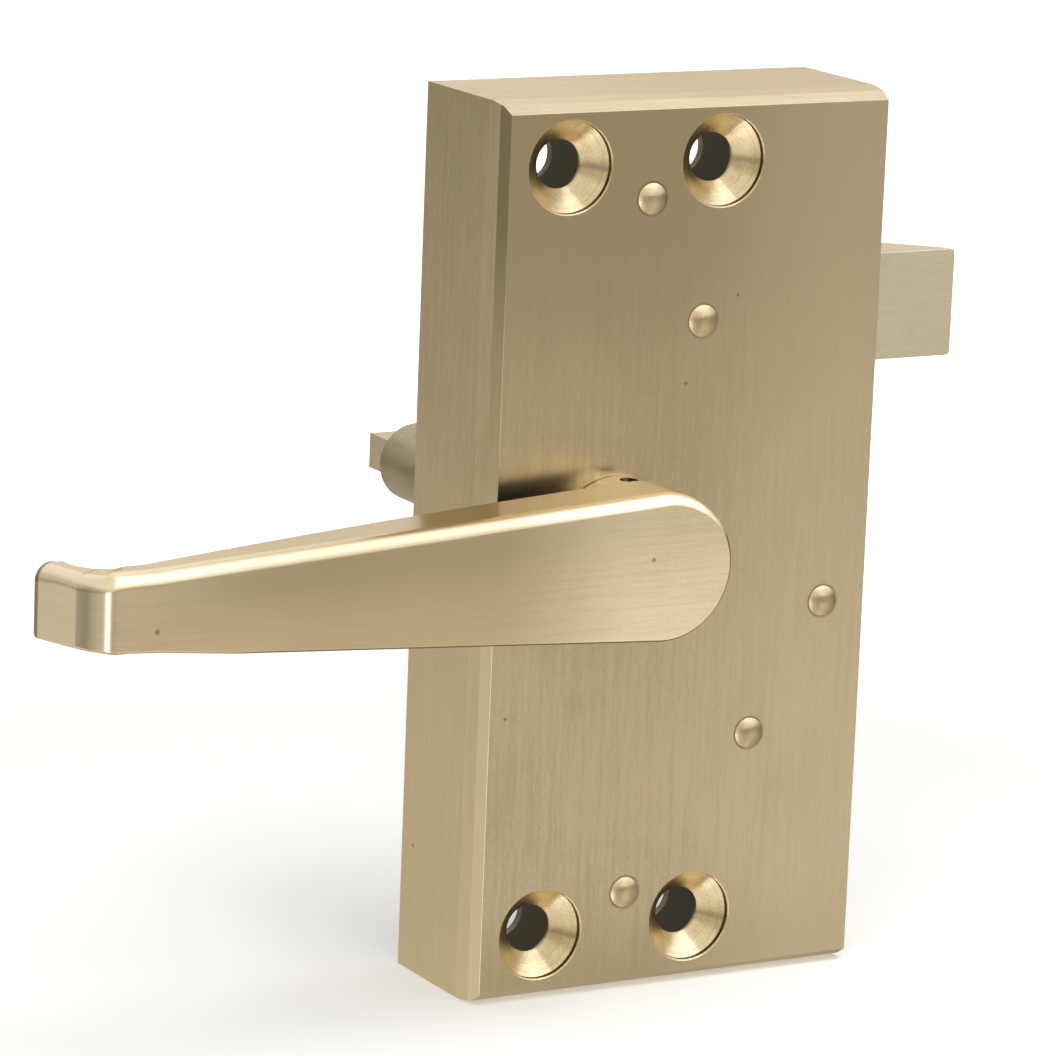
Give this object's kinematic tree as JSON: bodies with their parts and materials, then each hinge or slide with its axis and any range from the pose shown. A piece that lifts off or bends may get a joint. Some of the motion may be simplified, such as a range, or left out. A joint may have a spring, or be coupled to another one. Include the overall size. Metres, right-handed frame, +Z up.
{
  "type": "mortise latch",
  "caption": "Surface-fixed door latch: lever handle on a flat case, spring bolt with a sloped nose, and a spindle and sleeve that pass through the door.",
  "frame": {"origin": "on the spindle's axis, in the plane of the case's back rim, where the door's face lies", "axes": "+X towards the bolt's nose, +Y through the door, away from the lever, +Z up"},
  "size_m": [0.1741, 0.1012, 0.1524],
  "materials": {
    "satin_brass": "satin, brushed",
    "lever_brass": "satin, brushed",
    "bolt_brass": "machined, matte",
    "sleeve_brass": "turned, matte",
    "spindle_brass": "drawn, matte",
    "post_brass": "turned, riveted",
    "bush_bronze": "turned",
    "dark_steel": "oiled, dark",
    "plain_steel": "stamped, oiled",
    "bright_steel": "ground",
    "spring_steel": "drawn, tempered",
    "black_steel": "blackened"
  },
  "bodies": {
    "housing": {"case": "satin_brass", "works_plate": "dark_steel", "plate_posts": "post_brass", "guide_post": "post_brass", "front_bush": "bush_bronze", "plate_bush": "bush_bronze", "stop_pins": "bright_steel", "spring_anchor": "bright_steel", "thrust_washer": "bush_bronze", "bolt_spring": "spring_steel", "return_spring": "spring_steel"},
    "handle": {"lever": "lever_brass", "lever_set_screw": "black_steel", "spindle": "spindle_brass", "spindle_sleeve": "sleeve_brass", "sleeve_pin": "bright_steel", "hub": "plain_steel", "cam_pin": "bright_steel", "spring_collar": "plain_steel", "drive_pin": "bright_steel"},
    "bolt": {"latch_bolt": "bolt_brass", "bolt_tail": "plain_steel", "tail_rivets": "post_brass", "spring_rod": "bright_steel"}
  },
  "joints": [
    {"name": "lever_turn", "type": "hinge", "parent": "housing", "child": "handle", "pos_m": [0, 0, 0], "axis": [0, -1, 0], "range_deg": [0, 38.94], "stiffness_Nm_per_rad": 0.3, "springref_deg": -34.38, "deforming": ["return_spring"]},
    {"name": "bolt_slide", "type": "slide", "parent": "housing", "child": "bolt", "axis": [-1, 0, 0], "range_m": [0, 0.018], "stiffness_N_per_m": 250, "springref_m": -0.01, "deforming": ["bolt_spring"]}
  ],
  "couplings": [
    {"joint": "bolt_slide", "follows": "lever_turn", "m_per_rad": 0.02648}
  ]
}
